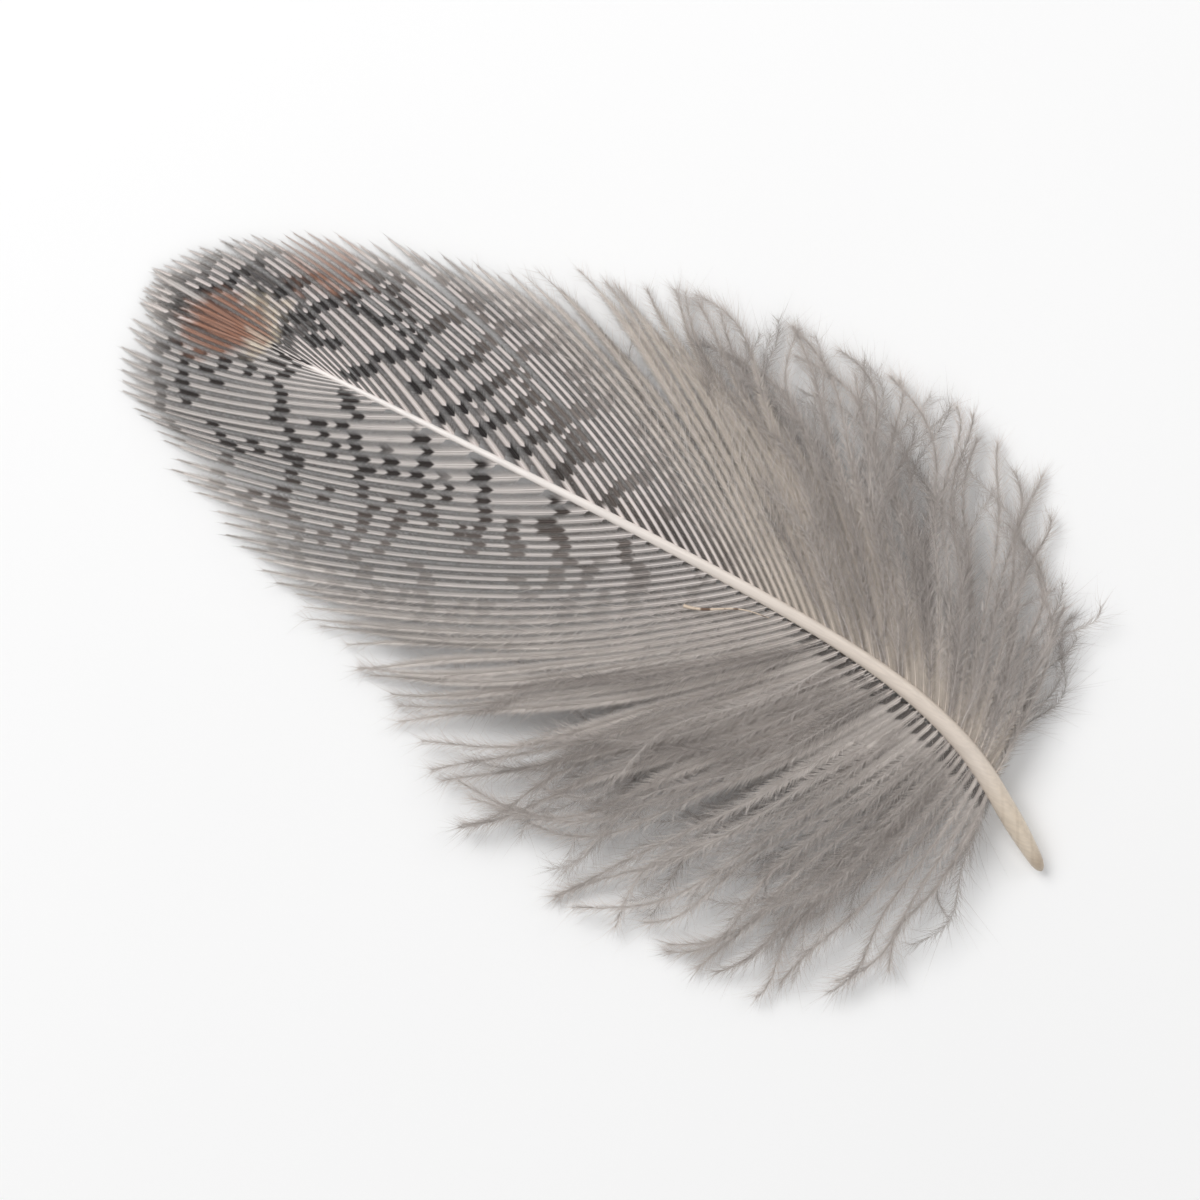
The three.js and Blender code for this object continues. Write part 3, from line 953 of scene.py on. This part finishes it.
DOWN_BARBS = 48
DOWN_ZONE = 0.27
DOWN_REACH = {LEFT: 0.9, RIGHT: 0.95}
DOWN_RIB = 0.034


def down_barbs(side, seed):
    chance = np.random.default_rng(seed)
    places = np.sort(chance.uniform(0.0, 1.0, DOWN_BARBS)) * DOWN_ZONE
    barbs = Barbs(side, places, seed + 1)
    layer = chance.uniform(0, 1, barbs.count)
    barbs.loft = lerp(-1.44, 0.8, layer)
    barbs.end = lerp(0.25, 2.6, layer ** 1.5)
    barbs.camber = np.full(barbs.count, 1.6)
    barbs.stretch = REACH[side] * DOWN_REACH[side] * chance.uniform(0.7, 1.0, barbs.count)
    barbs.turn = 6 * chance.standard_normal(barbs.count) + 8 * (places < 0.02)
    barbs.wave = chance.uniform(3.0, 10.0, barbs.count)
    barbs.firm = np.full(barbs.count, 0.03)
    barbs.turn_reach = 0.2
    barbs.settle()
    return barbs


for name, side, seed in (("down_left", LEFT, 21), ("down_right", RIGHT, 31)):
    barbs = down_barbs(side, seed)
    make_piece(name, [
        rami(barbs, DOWNY_RAMUS, DOWN_RIB, DOWN_RIB),
        downy_hairs(barbs, HAIR, gap=0.1, length=1.6, width=0.01, droop=0.12, spread=38,
                    steep=24),
        downy_hairs(barbs, BARBULE, gap=0.04, length=0.7, width=0.011, droop=0.05, spread=40),
    ], DOWN, "feather")

# %% [markdown]
# ## The quill and the shaft
# The shaft is one tapering rod of horn, smooth and rounded above and with a groove
# below. A cylinder is cut into short lengths, and its points are then laid along the bow
# and the arch, each at the radius that the shaft has there. A Curve modifier could bend
# it too, but the same rule that places the barbs also makes them meet the shaft.

# %% Quill and shaft
SHAFT_SIDES = 20
SHAFT_CUTS = 110
BEYOND_TIP = 0.6
CAP_INSET = 0.35
CAP_DOME = 0.8
GROOVE = 0.45


def shaft_frames(x):
    def at(value):
        return np.stack((value, shaft_side(value), arch_height(value)), axis=-1)

    ahead = unit(at(x + 0.02) - at(x - 0.02))
    left = unit(np.cross((0.0, 0.0, 1.0), ahead))
    return at(x), left, np.cross(ahead, left)


bpy.ops.object.select_all(action="DESELECT")
bpy.ops.mesh.primitive_cylinder_add(vertices=SHAFT_SIDES, radius=1, depth=1, location=(0, 0, 0.5))
shaft = bpy.context.object
shaft.name = "shaft"
bpy.ops.object.transform_apply(location=True, rotation=False, scale=False)
cut_lengthwise(shaft, SHAFT_CUTS)
bpy.ops.object.mode_set(mode="EDIT")
bpy.ops.mesh.select_mode(type="FACE")
bpy.ops.mesh.select_all(action="DESELECT")
bpy.ops.object.mode_set(mode="OBJECT")
for face in shaft.data.polygons:
    face.select = abs(face.normal.z) > 0.9
bpy.ops.object.mode_set(mode="EDIT")
bpy.ops.mesh.inset(thickness=CAP_INSET)
bpy.ops.mesh.inset(thickness=CAP_INSET)
bpy.ops.object.mode_set(mode="OBJECT")

standing = np.array([v.co for v in shaft.data.vertices])
x = (QUILL_LENGTH + SHAFT_LENGTH + BEYOND_TIP) * standing[:, 2] ** 1.1 - QUILL_LENGTH
rim = np.linalg.norm(standing[:, :2], axis=1)
outward = np.where(standing[:, 2] > 0.5, CAP_DOME, -CAP_DOME)
dome = (1 - rim ** 2) * shaft_radius(x) * outward
here, left, up = shaft_frames(x + np.where(rim < 0.99, dome, 0))
radius = (shaft_radius(x) * (1 + 0.12 * smooth(x, 8, 25)))[:, None]
groove = GROOVE * np.maximum(-standing[:, 1:2], 0) ** 8 * smooth(x, 0, 4)[:, None]
laid = here + left * standing[:, :1] * radius + up * (standing[:, 1:2] + groove) * radius
laid = laid + up * 0.06 * smooth(x, 20, 35)[:, None]
shaft.data.vertices.foreach_set("co", ((laid - MIDDLE) * MM).ravel())
shaft.data.shade_smooth()


def shaft_finish():
    finish = Finish("horn_shaft", roughness=0.36, sheen=0.0)
    finish.shader.inputs["Coat Weight"].default_value = 0.2
    finish.shader.inputs["Coat Roughness"].default_value = 0.3
    place = finish.place()
    x, y, z = finish.parts(place)
    colour = finish.mix(finish.step(x, 6.0, 34.0), tone(224, 211, 198), tone(242, 235, 230))
    quill = finish.rest(finish.step(x, -2.5, 1.5))
    colour = finish.mix(finish.times(quill, 0.6), colour, tone(218, 201, 176))
    caps = finish.step(finish.math("SINE", finish.times(finish.add(x, finish.times(y, 0.6)), 7.0)),
                       0.6, 1.0)
    colour = finish.mix(finish.times(finish.times(caps, quill), 0.14), colour, tone(150, 126, 98))
    end = finish.rest(finish.step(x, -4.7, -3.6))
    colour = finish.mix(finish.times(end, 0.45), colour, tone(146, 120, 92))
    fibres = finish.cloud(finish.vector(finish.times(x, 0.25), finish.times(y, 7.0),
                                        finish.times(z, 7.0)), 1.0, 3.0)
    return finish.done(finish.shaded(colour, finish.add(0.8, finish.times(fibres, 0.36))))


dress(shaft, shaft_finish(), "feather")

# %% [markdown]
# ## The afterfeather
# At the top of the quill a second, small plume forks off on the side that faced the
# bird. It is all down. Its barbs leave a thin shaft of their own, which runs back under
# the feather and lies on the surface.

# %% Afterfeather
AFTER_LENGTH = 26.0
AFTER_FORK = 0.6
AFTER_FORK_DROP = 1.15
AFTER_DESCENT = 0.45
AFTER_HEIGHT = 0.5
AFTER_STRAY = 0.8
AFTER_WIDTH = 0.16
AFTER_BARBS = 44
AFTER_BARB = 8.0
AFTER_BARB_LOSS = 3.2
AFTER_RIB = 0.03


def after_point(s):
    x = AFTER_FORK + AFTER_LENGTH * s
    fork = arch_height(np.array(AFTER_FORK)) - AFTER_FORK_DROP
    height = lerp(fork, AFTER_HEIGHT, np.minimum(1, s / AFTER_DESCENT))
    return np.stack((x, shaft_side(x) + AFTER_STRAY * s, height), axis=-1)


class AfterBarbs(Barbs):
    """Downy barbs of one side of the afterfeather."""

    def __init__(self, side, seed):
        super().__init__(side, np.linspace(0.04, 0.96, AFTER_BARBS), seed)
        self.size = AFTER_BARB - AFTER_BARB_LOSS * self.places ** 2
        self.size = self.size * self.chance.uniform(0.75, 1.0, self.count)
        self.rise = self.chance.uniform(0.0, 1.2, self.count)
        self.firm = np.full(self.count, 0.03)

    def length(self, barb):
        return self.size[barb]

    def points(self, barb, q, step=0.0):
        s = self.places[barb]
        root = after_point(s)
        angle = 24 + 28 * np.exp(-s / 0.3) + 7 * np.sin(40 * self.phase[barb])
        angle = angle + 12 * q * np.sin(2 * np.pi * (q + self.phase[barb]))
        angle = self.side * angle * DEGREE
        out = self.size[barb] * q
        x = root[..., 0] + np.cos(angle) * out
        y = root[..., 1] + np.sin(angle) * out * (1 - 0.2 * q)
        z = lerp(root[..., 2], 0.3 + self.rise[barb], q)
        return np.stack((x, y, np.maximum(z, LOWEST)), axis=-1)


class AfterShaft(AfterBarbs):
    """The afterfeather's own shaft, as one long barb."""

    def __init__(self):
        super().__init__(LEFT, 40)
        self.count = 1
        self.size = np.array([AFTER_LENGTH])

    def points(self, barb, q, step=0.0):
        return after_point(q)


parts = [rami(AfterShaft(), RAMUS, AFTER_WIDTH, AFTER_WIDTH)]
for side, seed in ((LEFT, 41), (RIGHT, 42)):
    barbs = AfterBarbs(side, seed)
    parts += [
        rami(barbs, DOWNY_RAMUS, AFTER_RIB, AFTER_RIB),
        downy_hairs(barbs, HAIR, gap=0.1, length=0.9, width=0.012, droop=0.05, spread=40),
        downy_hairs(barbs, BARBULE, gap=0.07, length=0.5, width=0.012, droop=0.0, spread=45),
    ]
make_piece("afterfeather_plume", parts, DOWN, "afterfeather")

# %% [markdown]
# ## A broken barb
# A short dry piece of a barb has broken off and lies on the left vane, close to the
# shaft. It is one more ramus, laid along a slightly wavy line just above the sheet.

# %% Broken barb
BROKEN_START = (19.2, -1.14)
BROKEN_WAY = (-4.4, -1.46)
BROKEN_LENGTH = 4.7
BROKEN_WAVE = 0.16
BROKEN_WIDTH = 0.11
BROKEN_HEIGHT = 0.08
ABOVE_SHEET = 0.5


class BrokenBarb(AfterBarbs):
    """A short loose piece that lies on the left vane."""

    def __init__(self):
        super().__init__(LEFT, 50)
        self.count = 1
        self.size = np.array([BROKEN_LENGTH])

    def points(self, barb, q, step=0.0):
        x = BROKEN_START[0] + BROKEN_WAY[0] * q
        y = BROKEN_START[1] + BROKEN_WAY[1] * q
        y = y + BROKEN_WAVE * np.sin(2 * np.pi * (q + 0.1))
        z = arch_height(x) + ABOVE_SHEET - 0.1 * (y + 3.4)
        return np.stack((x, y, z), axis=-1)


def dry_finish():
    finish = Finish("dry_barb", roughness=0.7, sheen=0.0)
    along = finish.attribute("along_mm")
    patches = finish.step(finish.cloud(finish.vector(finish.times(along, 1.3)), 1.0), 0.5, 0.6)
    return finish.done(finish.mix(patches, tone(216, 198, 178), tone(112, 88, 72)))


make_piece("broken_barb", [rami(BrokenBarb(), RAMUS, BROKEN_WIDTH, BROKEN_HEIGHT, taper=0.3)],
           dry_finish(), "feather")

# %% [markdown]
# ## The floor's finish
# A plain matt white surface, with hardly visible unevenness, as painted board has.

# %% Finish of the floor
board = Finish("pale_board", roughness=0.9, sheen=0.0)
board_cloud = board.cloud(board.place(), 0.02)
floor.data.materials.append(board.done(
    board.mix(board_cloud, tone(247, 247, 247), tone(252, 252, 252))))
